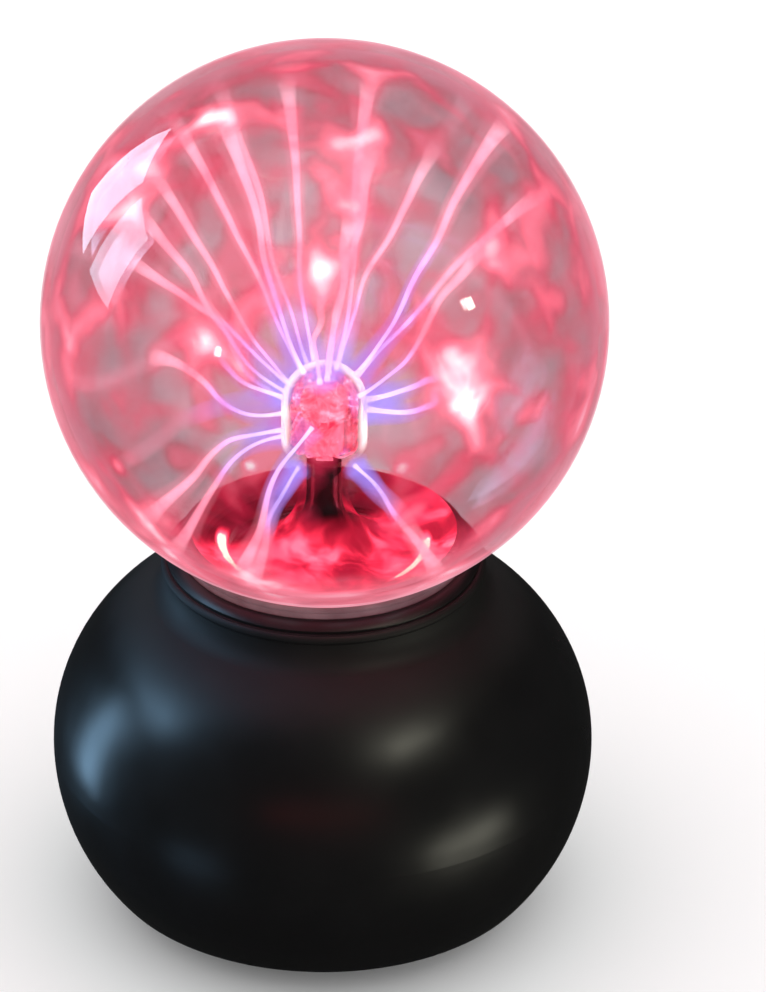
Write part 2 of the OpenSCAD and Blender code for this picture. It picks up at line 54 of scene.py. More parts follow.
GLOBE_LOW, GLOBE_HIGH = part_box("globe_glass")
GLOBE_R = (GLOBE_HIGH.x - GLOBE_LOW.x) / 2
GLOBE = Vector((0, 0, GLOBE_HIGH.z - GLOBE_R))
# The round wall works as a lens that shows the gas right out to its edge, so the veil of gas lies just
# under the wall's outer face, and the pool of red light inside its inner face.
VEIL_R = GLOBE_R - 0.25 * MM
POOL_R = VEIL_R - 1.9 * MM
WOOL_LOW, WOOL_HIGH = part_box("electrode_wool")
WOOL_R = WOOL_HIGH.x
BULB_WALL = 1.35 * MM
BULB_R = WOOL_R + BULB_WALL
STEM_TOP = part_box("electrode_stem")[1].z
DOME = Vector((0, 0, STEM_TOP - BULB_R))
BULB_DEPTH = DOME.z - WOOL_LOW.z + BULB_WALL
BULB_BOTTOM = DOME.z - BULB_DEPTH
GASKET_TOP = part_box("globe_gasket")[1].z
SHELL_LOW, SHELL_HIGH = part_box("base_shell")

# ---- Places that the boxes don't give: the glass seal, the stem and its contact cap ----

OPENING_R = 15.6 * MM
BEAD_R = 14.5 * MM
STALK_R = 3.5 * MM
FLARE_TOP = GLOBE.z - 30 * MM
CAP_R = 3.3 * MM

# ---- Colours, linear ----

VIOLET = (0.33, 0.29, 1.0)
LILAC = (0.72, 0.42, 0.95)
PALE_LILAC = (0.92, 0.78, 1.0)
PINK = (1.0, 0.36, 0.47)
PALE_PINK = (1.0, 0.56, 0.66)
WARM_WHITE = (1.0, 0.93, 0.92)
MAUVE_HAZE = (0.80, 0.68, 0.72)
ROSE = (0.72, 0.030, 0.090)
SALMON = (0.97, 0.110, 0.190)
CORAL = (1.0, 0.21, 0.31)
CRIMSON = (0.55, 0.0, 0.03)
# White of the painted highlight on the glass seal, also the top of the flames' colours.
SEAL_HIGHLIGHT_WHITE = (1.0, 0.92, 0.70)
RED = (1.0, 0.035, 0.09)


def direction(azimuth, elevation):
    """The way from a centre to a point at these degrees."""
    a = math.radians(azimuth)
    e = math.radians(elevation)
    return Vector((math.sin(a) * math.cos(e), -math.cos(a) * math.cos(e), math.sin(e)))


# ---- Node trees ----

class Shader:
    """A material's node tree. Values may be sockets, numbers or colours."""

    def __init__(self, name):
        self.material = bpy.data.materials.new(name)
        self.material.use_nodes = True
        self.tree = self.material.node_tree
        self.tree.nodes.clear()
        self.place = self.node("TexCoord").outputs["Object"]

    def feed(self, socket, value):
        if isinstance(value, bpy.types.NodeSocket):
            self.tree.links.new(value, socket)
        elif hasattr(value, "__len__") and len(value) == 3 and socket.type == "RGBA":
            socket.default_value = (*value, 1.0)
        else:
            socket.default_value = value

    def node(self, kind, inputs=None, **settings):
        made = self.tree.nodes.new("ShaderNode" + kind)
        for key, value in settings.items():
            setattr(made, key, value)
        for key, value in (inputs or {}).items():
            self.feed(made.inputs[key], value)
        return made

    def math(self, operation, a, b=0.0, clamp=False):
        return self.node("Math", {0: a, 1: b}, operation=operation, use_clamp=clamp).outputs[0]

    def remap(self, value, low, high, to_low=0.0, to_high=1.0):
        numbers = {"Value": value, "From Min": low, "From Max": high, "To Min": to_low, "To Max": to_high}
        return self.node("MapRange", numbers, interpolation_type="SMOOTHSTEP").outputs["Result"]

    def noise(self, scale, detail=3.0, roughness=0.5, distortion=0.0, vector=None, kind="FBM",
              colour=False):
        numbers = {
            "Vector": vector or self.place,
            "Scale": scale,
            "Detail": detail,
            "Roughness": roughness,
            "Distortion": distortion,
        }
        made = self.node("TexNoise", numbers, noise_type=kind)
        return made.outputs["Color" if colour else "Fac"]

    def edges_of_cells(self, scale, vector=None):
        """Distance to the nearest border between the cells of a random honeycomb."""
        numbers = {"Vector": vector or self.place, "Scale": scale}
        return self.node("TexVoronoi", numbers, feature="DISTANCE_TO_EDGE").outputs["Distance"]

    def parts(self):
        """X, Y and Z of the place."""
        return self.node("SeparateXYZ", {0: self.place}).outputs

    def length(self, vector):
        return self.node("VectorMath", {0: vector}, operation="LENGTH").outputs["Value"]

    def stretch(self, x, y, z):
        return self.node("VectorMath", {0: self.place, 1: (x, y, z)}, operation="MULTIPLY").outputs[0]

    def from_axis(self):
        """Distance from the Z axis."""
        return self.length(self.stretch(1.0, 1.0, 0.0))

    def warped(self, scale, amount):
        """The place, pushed about by a noise."""
        swirl = self.noise(scale, 2.0, colour=True)
        centred = self.node("VectorMath", {0: swirl, 1: (0.5, 0.5, 0.5)}, operation="SUBTRACT").outputs[0]
        push = self.node("VectorMath", {0: centred, "Scale": amount}, operation="SCALE").outputs[0]
        return self.node("VectorMath", {0: self.place, 1: push}, operation="ADD").outputs[0]

    def ramp(self, value, stops):
        made = self.node("ValToRGB", {"Fac": value})
        elements = made.color_ramp.elements
        while len(elements) < len(stops):
            elements.new(0.5)
        for element, (position, colour) in zip(elements, stops):
            element.position = position
            element.color = (*colour, 1.0)
        return made.outputs["Color"]

    def grey_ramp(self, value, stops):
        return self.ramp(value, [(position, (v, v, v)) for position, v in stops])

    def attribute(self, name):
        return self.node("Attribute", attribute_name=name).outputs["Fac"]

    def facing(self):
        """Nothing where a surface is seen straight on, one along its outline."""
        return self.node("LayerWeight", {"Blend": 0.5}).outputs["Facing"]

    def mix(self, factor, first, second):
        made = self.node("MixShader", {0: factor})
        self.tree.links.new(first, made.inputs[1])
        self.tree.links.new(second, made.inputs[2])
        return made.outputs[0]

    def bump(self, height, strength, distance):
        numbers = {"Height": height, "Strength": strength, "Distance": distance}
        return self.node("Bump", numbers).outputs["Normal"]

    def glow(self, colour, strength, alpha, tint=(1.0, 1.0, 1.0)):
        """Light that covers what is behind it by alpha. The rest is seen through the tint."""
        clear = self.node("BsdfTransparent", {"Color": tint}).outputs[0]
        light = self.node("Emission", {"Color": colour, "Strength": strength}).outputs[0]
        return self.mix(alpha, clear, light)

    def finish(self, surface):
        output = self.node("OutputMaterial")
        self.tree.links.new(surface, output.inputs["Surface"])
        self.material.cycles.emission_sampling = "NONE"
        return self.material


def scaled(colour, share):
    return tuple(c * share for c in colour)


# ---- Materials of the solid parts ----

def surface(name, colour, shade=0.75, rough=(0.35, 0.5), grain=1500.0, bump=0.2, depth=0.03 * MM,
            metallic=0.0, specular=0.5, coat=0.0, height=None, wear_and_highlight_gaps=None):
    """A moulded, cast or rolled surface: colour and roughness vary a little, and the grain is a bump."""
    s = Shader(name)
    tint = s.ramp(s.noise(grain / 12, 4.0), [(0.35, scaled(colour, shade)), (0.65, colour)])
    roughness = s.remap(s.noise(grain / 25, 3.0, 0.6), 0.3, 0.7, *rough)
    if wear_and_highlight_gaps:
        roughness = s.math("ADD", roughness, wear_and_highlight_gaps(s))
    relief = height(s) if height else s.noise(grain, 2.0, 0.6)
    numbers = {
        "Base Color": tint,
        "Roughness": roughness,
        "Metallic": metallic,
        "Specular IOR Level": specular,
        "Coat Weight": coat,
        "Normal": s.bump(relief, bump, depth),
    }
    return s.finish(s.node("BsdfPrincipled", numbers).outputs[0])


def wound(s):
    """Turns of wire, one over the other along Z, with a slight unevenness."""
    uneven = s.warped(300.0, 0.25 * MM)
    wave = s.node("TexWave", {"Vector": uneven, "Scale": 420.0, "Distortion": 0.6},
                  wave_type="BANDS", bands_direction="Z")
    return wave.outputs["Fac"]


def brushed(s):
    return s.noise(900.0, 2.0, 0.6, vector=s.stretch(1.0, 1.0, 0.06))


def braided(s):
    return s.noise(2600.0, 1.0, 0.5, vector=s.stretch(1.0, 1.0, 0.35))


def moulded(s):
    """Fine mould grain over the slow waviness that any moulded shell has."""
    fine = s.math("MULTIPLY", s.noise(2400.0, 2.0, 0.6), 0.25)
    return s.math("ADD", fine, s.noise(55.0, 1.0, 0.4))


def dull_neck(s):
    """The neck and the lip are duller than the belly: hands hold the base there."""
    return s.remap(s.parts()["Z"], SHELL_HIGH.z - 15 * MM, SHELL_HIGH.z - 7 * MM, 0.0, 0.30)


def circuit_board_material():
    """Copper tracks under green lacquer."""
    s = Shader("circuit_board_green")
    tracks = s.remap(s.edges_of_cells(260.0), 0.02, 0.09)
    tint = s.ramp(tracks, [(0.0, (0.02, 0.13, 0.04)), (1.0, (0.008, 0.055, 0.018))])
    numbers = {
        "Base Color": tint,
        "Roughness": s.remap(s.noise(200.0, 3.0), 0.3, 0.7, 0.28, 0.42),
        "Normal": s.bump(tracks, 0.3, 0.03 * MM),
    }
    return s.finish(s.node("BsdfPrincipled", numbers).outputs[0])


def cell_material():
    """A printed sleeve with a copper-coloured band at one end."""
    s = Shader("cell_sleeve")
    band = s.remap(s.math("ABSOLUTE", s.parts()["X"]), 13.5 * MM, 14.0 * MM)
    tint = s.ramp(band, [(0.0, (0.012, 0.012, 0.014)), (1.0, (0.62, 0.30, 0.10))])
    numbers = {
        "Base Color": tint,
        "Roughness": s.remap(s.noise(90.0, 3.0), 0.3, 0.7, 0.22, 0.34),
        "Metallic": 0.35,
        "Normal": s.bump(s.noise(700.0, 2.0), 0.12, 0.03 * MM),
    }
    return s.finish(s.node("BsdfPrincipled", numbers).outputs[0])


def silicone_material():
    """The grey, slightly clear gasket, with a faint painted pink glow for the globe's light inside it."""
    s = Shader("gasket_silicone")
    tint = s.ramp(s.noise(180.0, 3.0), [(0.35, (0.13, 0.075, 0.085)), (0.65, (0.20, 0.12, 0.135))])
    numbers = {
        "Base Color": tint,
        "Roughness": s.remap(s.noise(240.0, 3.0), 0.3, 0.7, 0.32, 0.5),
        "Subsurface Weight": 0.35,
        "Subsurface Radius": (0.004, 0.0012, 0.0014),
        "Subsurface Scale": 0.6,
        # Painted glow: a faint pink emission for the globe's light on the gasket.
        "Emission Color": (0.75, 0.16, 0.22),
        "Emission Strength": 0.05,
        "Normal": s.bump(s.noise(1600.0, 2.0), 0.12, 0.03 * MM),
    }
    return s.finish(s.node("BsdfPrincipled", numbers).outputs[0])


def globe_glass_material():
    """Thin clear glass. It mirrors more toward its edge, where a painted pink glow in patches stands in for
    the gas's light.
    """
    s = Shader("globe_clear_glass")
    ripple = s.bump(s.noise(38.0, 2.0, 0.4), 0.10, 0.25 * MM)
    fresnel = s.node("Fresnel", {"IOR": 1.45, "Normal": ripple}).outputs[0]
    mirrored = s.math("MINIMUM", fresnel, 0.22)
    roughness = s.remap(s.noise(60.0, 3.0), 0.35, 0.65, 0.015, 0.05)
    numbers = {"Color": (1.0, 1.0, 1.0), "Roughness": roughness, "Normal": ripple}
    gloss = s.node("BsdfGlossy", numbers).outputs[0]
    clear = s.node("BsdfTransparent", {"Color": (0.985, 0.975, 0.98)}).outputs[0]
    body = s.mix(mirrored, clear, gloss)
    # Painted pink glow in patches along the globe's outline.
    patches = s.remap(s.noise(55.0, 3.0, 0.55), 0.3, 0.7, 0.35, 0.85)
    painted_edge_glow = s.math("MULTIPLY", s.remap(s.facing(), 0.55, 0.98), patches)
    light = s.node("Emission", {"Color": (1.0, 0.40, 0.50), "Strength": 1.0}).outputs[0]
    return s.finish(s.mix(painted_edge_glow, body, light))


def outer_face(s):
    """One on the outside of the bulb's wall, nothing on its inside."""
    parts = s.parts()
    rise = s.math("MAXIMUM", s.math("SUBTRACT", parts["Z"], DOME.z), 0.0)
    spoke = s.node("CombineXYZ", {"X": parts["X"], "Y": parts["Y"], "Z": rise}).outputs[0]
    return s.remap(s.length(spoke), BULB_R - 0.5 * MM, BULB_R - 0.2 * MM)


def stem_glass_material():
    """Glass of the bulb and the stem. A painted white glow along the bulb's edges stands in for the light
    of the discharge round it.
    """
    s = Shader("stem_glowing_glass")
    on_bulb = s.remap(s.parts()["Z"], BULB_BOTTOM + 1 * MM, BULB_BOTTOM + 4 * MM)
    # Painted white glow along the outline of the bulb.
    painted_edge_glow = s.math("MULTIPLY", s.remap(s.facing(), 0.40, 0.66), outer_face(s))
    streaks = s.remap(s.noise(420.0, 3.0, 0.6), 0.3, 0.75, 0.75, 1.0)
    painted_white_glow = s.math("MULTIPLY", s.math("MULTIPLY", painted_edge_glow, on_bulb), streaks)
    light = s.node("Emission", {"Color": (1.0, 0.88, 0.84), "Strength": 2.4}).outputs[0]
    gloss = s.node("BsdfGlossy", {"Color": (1.0, 1.0, 1.0), "Roughness": 0.05}).outputs[0]
    clear = s.node("BsdfTransparent", {"Color": (0.99, 0.97, 0.975)}).outputs[0]
    fresnel = s.node("Fresnel", {"IOR": 1.5}).outputs[0]
    mirrored = s.math("MULTIPLY", fresnel, s.remap(on_bulb, 0.0, 1.0, 0.15, 0.5))
    return s.finish(s.mix(painted_white_glow, s.mix(mirrored, clear, gloss), light))


BLACK = (0.0042, 0.0041, 0.0044)
STEEL = (0.62, 0.62, 0.64)
SOLID_MATERIALS = [
    (["base_shell"], dict(name="shell_black", colour=BLACK, shade=0.8, rough=(0.27, 0.36), grain=900.0,
                          bump=0.25, depth=0.05 * MM, specular=0.5, height=moulded, wear_and_highlight_gaps=dull_neck)),
    (["globe_collar"], dict(name="collar_black", colour=BLACK, rough=(0.36, 0.46), bump=0.1)),
    (["bottom_cover", "battery_door"],
     dict(name="cover_black", colour=(0.009, 0.009, 0.0095), rough=(0.42, 0.58), grain=1900.0, bump=0.35)),
    (["switch_knob"],
     dict(name="knob_grey", colour=(0.035, 0.035, 0.037), rough=(0.38, 0.5), grain=1900.0, bump=0.3)),
    (["globe_cup"], dict(name="cup_black", colour=(0.004, 0.003, 0.003), rough=(0.7, 0.85), bump=0.2,
                         specular=0.06)),
    (["battery_tray", "transformer_bobbin", "switch_body", "power_jack"],
     dict(name="inner_black", colour=(0.014, 0.014, 0.015), rough=(0.45, 0.6), bump=0.3)),
    (["control_chip"], dict(name="chip_black", colour=(0.012, 0.012, 0.013), rough=(0.5, 0.65), bump=0.4)),
    (["rubber_feet"], dict(name="rubber_grey", colour=(0.03, 0.03, 0.032), rough=(0.7, 0.9), grain=2400.0,
                           bump=0.6, specular=0.3)),
    (["contact_cap", "jack_pin"], dict(name="brass_turned", colour=(0.78, 0.52, 0.20), metallic=1.0,
                                       rough=(0.2, 0.35), height=brushed, bump=0.15)),
    (["cover_screws", "board_screws", "switch_screws", "heat_sink_screw", "heat_sink_nut", "jack_nut"],
     dict(name="screw_steel", colour=STEEL, metallic=1.0, rough=(0.25, 0.42), bump=0.25)),
    (["battery_springs", "battery_plates", "switch_bracket"],
     dict(name="plated_steel", colour=(0.72, 0.71, 0.68), metallic=1.0, rough=(0.22, 0.38),
          height=brushed)),
    (["heat_sink"], dict(name="aluminium_extruded", colour=(0.70, 0.71, 0.72), metallic=1.0,
                         rough=(0.35, 0.5), height=brushed, bump=0.3)),
    (["power_transistor"], dict(name="transistor_case", colour=(0.02, 0.02, 0.021), rough=(0.4, 0.6),
                                bump=0.4)),
    (["ferrite_core"], dict(name="ferrite_grey", colour=(0.035, 0.035, 0.038), rough=(0.5, 0.7), bump=0.7)),
    (["primary_winding", "secondary_winding"],
     dict(name="enamelled_wire", colour=(0.50, 0.17, 0.05), metallic=0.6, rough=(0.25, 0.4), height=wound,
          bump=0.9, depth=0.12 * MM, coat=0.4)),
    (["switch_leads", "battery_leads"],
     dict(name="lead_red", colour=(0.42, 0.012, 0.012), rough=(0.3, 0.45))),
    (["jack_leads"], dict(name="lead_black", colour=(0.015, 0.015, 0.016), rough=(0.3, 0.45))),
    (["high_voltage_lead"], dict(name="lead_matt_black", colour=(0.004, 0.003, 0.003), rough=(0.7, 0.85),
                                 height=braided, specular=0.08)),
    (["filter_capacitors"], dict(name="capacitor_sleeve", colour=(0.012, 0.016, 0.085), rough=(0.2, 0.34),
                                 coat=0.3)),
    (["film_capacitor"], dict(name="film_orange", colour=(0.42, 0.075, 0.02), rough=(0.3, 0.42), coat=0.4)),
    (["resistors"], dict(name="resistor_tan", colour=(0.52, 0.36, 0.18), rough=(0.35, 0.5))),
]


def paint(node, material):
    node.data.materials.clear()
    node.data.materials.append(material)


def dress_cad_nodes():
    for names, settings in SOLID_MATERIALS:
        material = surface(**settings)
        for name in names:
            paint(NODES[name], material)
    paint(NODES["circuit_board"], circuit_board_material())
    paint(NODES["battery_cells"], cell_material())
    paint(NODES["globe_gasket"], silicone_material())
    paint(NODES["globe_glass"], globe_glass_material())
    stem_glass = stem_glass_material()
    paint(NODES["electrode_stem"], stem_glass)
    paint(NODES["exhaust_tip"], stem_glass)


# ---- Meshes ----

class Tubes:
    """Many tapered tubes in one mesh. Each point also holds how far along it is, and how strong."""

    def __init__(self, sides):
        self.sides = sides
        self.points = []
        self.faces = []
        self.along = []
        self.power = []

    def add(self, path, radii, along, power):
        first = len(self.points)
        side = (path[1] - path[0]).orthogonal().normalized()
        for i, point in enumerate(path):
            ahead = (path[min(i + 1, len(path) - 1)] - path[max(i - 1, 0)]).normalized()
            side = (side - ahead * side.dot(ahead)).normalized()
            other = ahead.cross(side)
            for k in range(self.sides):
                turn = 2 * math.pi * k / self.sides
                self.points.append(point + (side * math.cos(turn) + other * math.sin(turn)) * radii[i])
                self.along.append(along[i])
                self.power.append(power)
        for i in range(len(path) - 1):
            for k in range(self.sides):
                a = first + i * self.sides + k
                b = first + i * self.sides + (k + 1) % self.sides
                self.faces.append((a, b, b + self.sides, a + self.sides))
        last = first + (len(path) - 1) * self.sides
        self.faces.append(tuple(reversed(range(first, first + self.sides))))
        self.faces.append(tuple(range(last, last + self.sides)))

    def object(self, name, material):
        made = mesh_object(name, self.points, self.faces, material)
        write_values(made, "along", self.along)
        write_values(made, "power", self.power)
        return made


def write_values(made, name, values):
    attribute = made.data.attributes.new(name, "FLOAT", "POINT")
    attribute.data.foreach_set("value", np.asarray(values, np.float32))


def placed(mesh, material):
    """A smooth mesh as an object of its own that rides on the housing."""
    mesh.shade_smooth()
    mesh.materials.append(material)
    made = bpy.data.objects.new(mesh.name, mesh)
    bpy.context.scene.collection.objects.link(made)
    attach(made, "housing")
    return made


def mesh_object(name, points, faces, material):
    mesh = bpy.data.meshes.new(name)
    mesh.from_pydata([tuple(p) for p in points], [], faces)
    mesh.update()
    return placed(mesh, material)


def bezier(p, t):
    s = 1 - t
    return p[0] * s ** 3 + p[1] * (3 * s * s * t) + p[2] * (3 * s * t * t) + p[3] * t ** 3


# ---- Streamers ----

# End on the glass (azimuth, elevation), start on the bulb (azimuth, elevation), how much the start points
# up, strength, how far the violet reaches along it, and how many degrees the start turns sideways.
STREAMERS = [
    ((-169, 36), (-150, 60), 0.2, 1.0, 0.12, 0),
    ((79, 81), (60, 72), 0.2, 1.0, 0.08, 0),
    ((24, 65), (15, 68), 0.1, 1.2, 0.08, 0),
    ((156, 16), (150, 50), 0.4, 0.8, 0.10, 0),
    ((98, 50), (95, 45), 0.2, 1.0, 0.45, 0),
    ((128, 13), (110, 35), 0.3, 0.9, 0.30, 0),
    ((46, 37), (60, 25), 0.3, 0.8, 0.25, 0),
    ((-61, 66), (-70, 60), 0.3, 1.1, 0.30, 0),
    ((-151, 36), (-140, 50), 0.3, 0.7, 0.12, 0),
    ((-140, 29), (-125, 45), 0.3, 0.8, 0.14, 0),
    ((-68, 48), (-80, 35), 0.4, 0.7, 0.10, 0),
    ((-59, 40), (-70, 25), 0.3, 0.7, 0.30, 0),
    ((-132, -5), (-110, 20), 0.4, 0.8, 0.25, 0),
    ((-25, 21), (-75, 15), 0.2, 1.2, 0.60, 0),
    ((-134, -28), (-100, -26), 0.1, 0.9, 0.45, 0),
    ((-43, -26), (-78, -42), 0.35, 1.1, 0.30, 0),
    ((-40, -36), (-74, -50), 0.25, 0.7, 0.45, 0),
    ((-19, -42), (-35, -85), 0.0, 0.65, 0.60, 0),
    ((-150, -20), (-120, -10), 0.2, 0.6, 0.30, 0),
    ((32, -40), (45, -85), 0.0, 0.9, 0.50, 0),
    ((-21, -38), (-15, -8), -0.6, 0.8, 0.50, -38),
    ((29, 15), (82, 10), 0.10, 1.9, 0.45, 0),
    ((29, 11), (80, -4), 0.05, 1.9, 0.55, 0),
    ((9, 50), (8, 60), 0.1, 1.3, 0.10, 0),
    ((0, 38), (-10, 55), 0.1, 1.3, 0.10, 0),
]
# Wide violet bands under the bulb, with no bright core: end, start, strength and the violet's reach.
BANDS = [
    ((-19, -42), (-35, -85), 2.4, 0.55),
    ((32, -40), (45, -85), 1.6, 0.35),
    ((-46, -12), (-82, 8), 1.0, 0.45),
]
# Where streamers land as a white star, and two painted glints low at the back of the glass: place on the
# glass, its size in millimetres and its strength.
STARS_AND_GLINTS = [
    ((29, 13), 3.8, 4.2), ((29, 7), 1.8, 2.4), ((28, 19), 1.8, 2.4), ((-25, 21), 1.0, 1.3),
    ((9, 50), 1.1, 1.3), ((4, 44), 1.0, 1.3), ((0, 38), 1.3, 1.3), ((-46, -12), 1.5, 1.3),
    # The last two are painted glints: painted reflections of lamps low at the back of the glass.
    ((149, -57), 0.9, 3.0), ((-149, -57), 0.9, 3.0),
]
# Wide pink clouds low on the sides: place and size in millimetres.
CLOUDS = [
    ((-62, 4), 6.0), ((-78, -8), 6.5), ((-45, 2), 4.5), ((-98, 6), 6.5), ((-120, 12), 5.5),
    ((-58, -24), 5.0), ((62, -8), 5.0), ((84, -4), 6.0), ((74, 20), 5.5), ((104, 8), 6.5),
    ((55, -28), 5.0), ((128, -16), 6.0), ((172, -6), 6.0), ((-160, 2), 6.0), ((-34, -23), 4.0),
    ((38, -26), 5.0), ((-86, -24), 6.0), ((98, -26), 6.0),
]
# Places where the gas stays clear, over the dark stem and the cup: place and size in millimetres.
CALM = [((1, -10), 7.0), ((-13, -6), 6.0)]
CLOUD_STRENGTH = 0.86
# Streamers that end lower than this leave less glow on the glass, since the pool is bright there.
LOW_END = -30
CALM_STRENGTH = 0.8
STEPS = 44


def bulb_point(azimuth, elevation):
    """A point on the bulb. Below the dome the elevation runs down the straight side."""
    flat = direction(azimuth, 0)
    if elevation >= 0:
        return DOME + direction(azimuth, elevation) * BULB_R
    return DOME + flat * BULB_R - Vector((0, 0, BULB_DEPTH * -elevation / 90))


def streamer_path(end, start, lift, turn, seed):
    """Leaves the bulb in its own direction, sways a little and lands almost straight on the glass."""
    normal = direction(*end)
    outward = direction(start[0] + turn, max(start[1], -20)) + Vector((0, 0, lift))
    finish = GLOBE + normal * (VEIL_R - 0.2 * MM)
    begin = bulb_point(*start)
    reach = (finish - begin).length
    landing = normal.lerp((finish - begin) / reach, 0.5)
    controls = [begin, begin + outward.normalized() * reach * 0.34, finish - landing * reach * 0.42, finish]
    path = []
    for i in range(STEPS + 1):
        t = i / STEPS
        point = bezier(controls, t)
        sway = noise.noise_vector(point * 90 + Vector((seed, 0, 0)))
        path.append(point + sway * (1.1 * MM * math.sin(math.pi * t)))
    return path


def streamer_radius(t):
    """Thin, with a small foot on the bulb and a trumpet where it meets the glass."""
    thin = 0.26 + 0.45 * t
    root = 0.22 * math.exp(-t / 0.04)
    trumpet = 0.8 * math.exp(-(1 - t) / 0.06) + 0.4 * math.exp(-(1 - t) / 0.22)
    return (thin + root + trumpet) * MM


def streamer_material(name, start, edge_power, strength, most):
    """Starts in its own colours near the bulb, then pink, and paler where it meets the glass."""
    s = Shader(name)
    along = s.attribute("along")
    power = s.attribute("power")
    colour = s.ramp(along, start + [(0.48, PINK), (0.80, PINK), (1.0, PALE_PINK)])
    core = s.math("POWER", s.math("SUBTRACT", 1.0, s.facing()), edge_power)
    flicker = s.remap(s.noise(260.0, 3.0), 0.25, 0.75, 0.7, 1.0)
    fade = s.grey_ramp(along, [(0.0, 0.9), (0.7, 1.0), (0.90, 0.85), (0.985, 0.12), (1.0, 0.0)])
    alpha = s.math("MULTIPLY", s.math("MULTIPLY", core, flicker), s.math("MULTIPLY", fade, power))
    alpha = s.math("MULTIPLY", alpha, most, clamp=True)
    return s.finish(s.glow(colour, strength, alpha))


def shifted_along(t, violet):
    """Where the material's colours are read, so that the violet ends at this streamer's own place."""
    if t < violet:
        return t * 0.30 / violet
    return 0.30 + 0.70 * (t - violet) / (1 - violet)


def make_streamers():
    """Bright cores, and round them soft halos with a wide violet skirt near the bulb."""
    # Blender starts this noise from the clock, so it gets a seed for the same sway on every run.
    noise.seed_set(7)
    core = Tubes(10)
    halo = Tubes(12)
    steps = [k / STEPS for k in range(STEPS + 1)]
    for i, (end, start, lift, power, violet, turn) in enumerate(STREAMERS):
        path = streamer_path(end, start, lift, turn, i * 7.3)
        shifted = [shifted_along(t, violet) for t in steps]
        radii = [streamer_radius(t) * (0.75 + 0.25 * power) for t in steps]
        skirt = [1.5 * MM * math.exp(-(t / 0.22) ** 2) for t in steps]
        core.add(path, radii, shifted, power)
        halo.add(path, [r * 2.5 + wide for r, wide in zip(radii, skirt)], shifted, power)
    for end, start, power, violet in BANDS:
        path = streamer_path(end, start, 0.0, 0, 0.0)
        wide = [(2.0 - 0.6 * t) * MM for t in steps]
        halo.add(path, wide, [shifted_along(t, violet) for t in steps], power)
    core_start = [(0.0, PALE_LILAC), (0.14, (0.55, 0.45, 1.0)), (0.30, LILAC)]
    halo_start = [(0.0, VIOLET), (0.18, VIOLET), (0.32, LILAC)]
    core_light = streamer_material("plasma_core", core_start, 1.0, 3.2, 0.95)
    halo_light = streamer_material("plasma_halo", halo_start, 1.6, 2.0, 0.32)
    core.object("plasma_streamers", core_light)
    halo.object("plasma_halos", halo_light)


# ---- The glow on the inside of the glass ----

def creeping_lines(seed):
    """Spots of glow on the glass: streamers' ends and their branches, stars, two painted glints and clouds.

    Each is a place, a width and a strength.
    """
    rng = random.Random(seed)
    spots = []
    for end, start, lift, power, violet, turn in STREAMERS:
        centre = direction(*end)
        power = min(power, 1.0 if end[1] > LOW_END else 0.6)
        spots.append((centre, 1.8 * MM, 0.45 * power))
        spots.append((centre, 6.5 * MM, 0.30 * power))
        for branch in range(rng.randint(3, 5)):
            heading = rng.uniform(0, 2 * math.pi)
            here = centre.copy()
            side = here.orthogonal().normalized()
            length = rng.randint(7, 16)
            for step in range(length):
                ahead = Matrix.Rotation(heading, 3, here) @ side
                here = (here + ahead * 0.026).normalized()
                side = (side - here * side.dot(here)).normalized()
                heading += rng.uniform(-0.35, 0.35)
                fade = 1 - step / length
                spots.append((here.copy(), (0.7 + 0.9 * fade) * MM, 0.55 * power * fade))
    for place, width, strength in STARS_AND_GLINTS:
        spots.append((direction(*place), width * MM, strength))
    for place, width in CLOUDS:
        spots.append((direction(*place), width * MM, CLOUD_STRENGTH))
    return spots


def painted_front_ring(directions):
    """A painted bright ring low on the globe, over the gasket, fading toward the back."""
    height = GLOBE.z + directions[:, 2] * GLOBE_R
    ring_z = GASKET_TOP + 0.9 * MM
    azimuth = np.arctan2(directions[:, 0], -directions[:, 1])
    return 0.9 * np.exp(-((height - ring_z) / (0.8 * MM)) ** 2 - (azimuth / math.radians(75)) ** 2)


def front_pool(directions):
    """The red pool low at the front, over the black cup."""
    azimuth = np.arctan2(directions[:, 0], -directions[:, 1])
    elevation = np.arcsin(directions[:, 2])
    low = np.exp(-((elevation + math.radians(46)) / math.radians(13)) ** 2)
    return 0.42 * low * np.exp(-(azimuth / math.radians(48)) ** 2)


def calm(directions):
    """How much of the glow is taken away in the clear places."""
    total = np.zeros(len(directions))
    for place, width in CALM:
        distance = VEIL_R * np.linalg.norm(directions - np.array(direction(*place)), axis=1)
        total += CALM_STRENGTH * np.exp(-(distance / (width * MM)) ** 2)
    return total


def glow_values(directions):
    """Strength of the glow at each point of the veil. It levels off where many spots meet."""
    total = front_pool(directions)
    for centre, width, strength in creeping_lines(4):
        cosine = directions @ np.array(centre)
        near = cosine > 0.7
        distance = VEIL_R * np.sqrt(np.maximum(2 - 2 * cosine[near], 0))
        total[near] = np.maximum(total[near], 0) + strength * np.exp(-(distance / width) ** 2) * 0.55
    # The painted bright ring over the gasket is added to the gas's glow.
    return 1.4 * (1 - np.exp(-total / 1.4)) + painted_front_ring(directions) - calm(directions)


